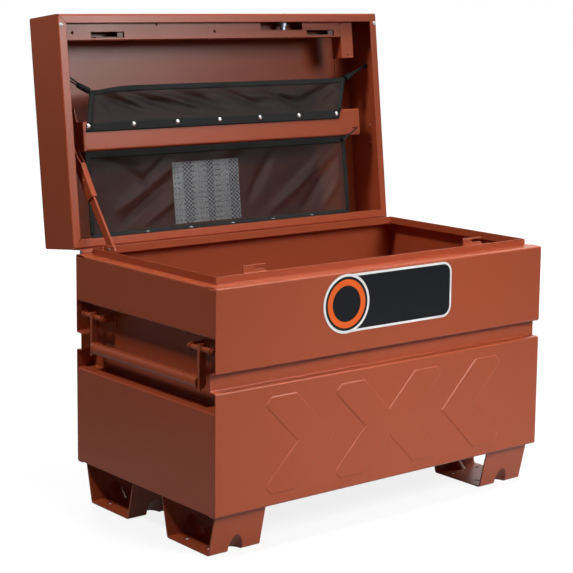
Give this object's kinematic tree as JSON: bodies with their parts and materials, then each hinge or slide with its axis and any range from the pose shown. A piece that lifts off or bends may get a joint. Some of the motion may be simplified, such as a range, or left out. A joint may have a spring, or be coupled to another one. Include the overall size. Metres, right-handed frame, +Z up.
{
  "type": "jobsite storage box",
  "caption": "Sheet-steel storage chest on channel feet, with a hinged hollow lid, a folding stay, mesh pockets, swing handles and a recessed lock.",
  "frame": {"origin": "on the floor, at the middle of the four feet", "axes": "+X to the chest's right, +Y to the back where the lid hinges, +Z up; the lid stands open at rest"},
  "size_m": [0.923, 0.6939, 1.0606],
  "materials": {
    "rust_paint": "satin",
    "zinc": "satin",
    "mesh": "matt",
    "cord": "matt",
    "label": "matt",
    "badge": "gloss",
    "bumper": "matt"
  },
  "bodies": {
    "chest": {"front_panel": "rust_paint", "back_panel": "rust_paint", "left_end_panel": "rust_paint", "right_end_panel": "rust_paint", "floor_panel": "rust_paint", "foot_front_left": "rust_paint", "foot_rear_left": "rust_paint", "foot_front_right": "rust_paint", "foot_rear_right": "rust_paint", "strike_left": "rust_paint", "strike_right": "rust_paint", "stay_bracket": "rust_paint", "hinge_body_leaf": "rust_paint", "hinge_pin": "zinc", "stay_lower_rivet": "zinc", "left_front_bracket": "rust_paint", "left_rear_bracket": "rust_paint", "right_front_bracket": "rust_paint", "right_rear_bracket": "rust_paint", "badge_plate": "badge"},
    "lid": {"lid_skin": "rust_paint", "lid_left_end": "rust_paint", "lid_right_end": "rust_paint", "crossbar": "rust_paint", "crossbar_end_plate": "rust_paint", "latch_channel": "rust_paint", "latch_face": "rust_paint", "lock_guard_box": "rust_paint", "latch_guides": "zinc", "lock_barrel": "zinc", "hinge_lid_leaf": "rust_paint", "bumper_left": "bumper", "bumper_right": "bumper", "upper_pocket": "mesh", "upper_pocket_rivets": "zinc", "lower_pocket": "mesh", "lower_pocket_rivets": "zinc", "elastic_left": "cord", "elastic_right": "cord", "label": "label"},
    "latch": {"latch_bar": "zinc", "latch_dog_left": "zinc", "latch_dog_right": "zinc"},
    "lock": {"lock_plug": "zinc"},
    "stay_lower": {"stay_lower_link": "rust_paint"},
    "stay_upper": {"stay_upper_link": "rust_paint", "stay_elbow_rivet": "zinc", "stay_top_rivet": "zinc"},
    "left_handle": {"left_grip": "rust_paint", "left_front_arm": "rust_paint", "left_front_pin": "rust_paint", "left_rear_arm": "rust_paint", "left_rear_pin": "rust_paint"},
    "right_handle": {"right_grip": "rust_paint", "right_front_arm": "rust_paint", "right_front_pin": "rust_paint", "right_rear_arm": "rust_paint", "right_rear_pin": "rust_paint"}
  },
  "joints": [
    {"name": "lid_hinge", "type": "hinge", "parent": "chest", "child": "lid", "pos_m": [0, 0.2605, 0.55], "axis": [1, 0, 0], "range_deg": [0, 96.5]},
    {"name": "stay_lower_pivot", "type": "hinge", "parent": "chest", "child": "stay_lower", "pos_m": [-0.4085, 0.184, 0.561], "axis": [1, 0, 0], "range_deg": [0, 147.3]},
    {"name": "stay_elbow", "type": "hinge", "parent": "stay_lower", "child": "stay_upper", "pos_m": [-0.4085, 0.29087, 0.69826], "axis": [1, 0, 0], "range_deg": [-106.8, 0]},
    {"name": "lock_turn", "type": "hinge", "parent": "lid", "child": "lock", "pos_m": [0.178, 0.34507, 1.05819], "axis": [0, 0.1132, 0.9936], "range_deg": [0, 90.1]},
    {"name": "latch_slide", "type": "slide", "parent": "lid", "child": "latch", "axis": [-1, 0, 0], "range_m": [0, 0.024]},
    {"name": "left_handle_hinge", "type": "hinge", "parent": "chest", "child": "left_handle", "pos_m": [-0.449, 0, 0.42], "axis": [0, 1, 0], "range_deg": [0, 90]},
    {"name": "right_handle_hinge", "type": "hinge", "parent": "chest", "child": "right_handle", "pos_m": [0.449, 0, 0.42], "axis": [0, -1, 0], "range_deg": [0, 90]}
  ],
  "couplings": [
    {"joint": "stay_lower_pivot", "follows": "lid_hinge", "ratio": 1.5254},
    {"joint": "stay_elbow", "follows": "lid_hinge", "ratio": -1.1058},
    {"joint": "lock_turn", "follows": "latch_slide", "rad_per_m": 65.45}
  ]
}
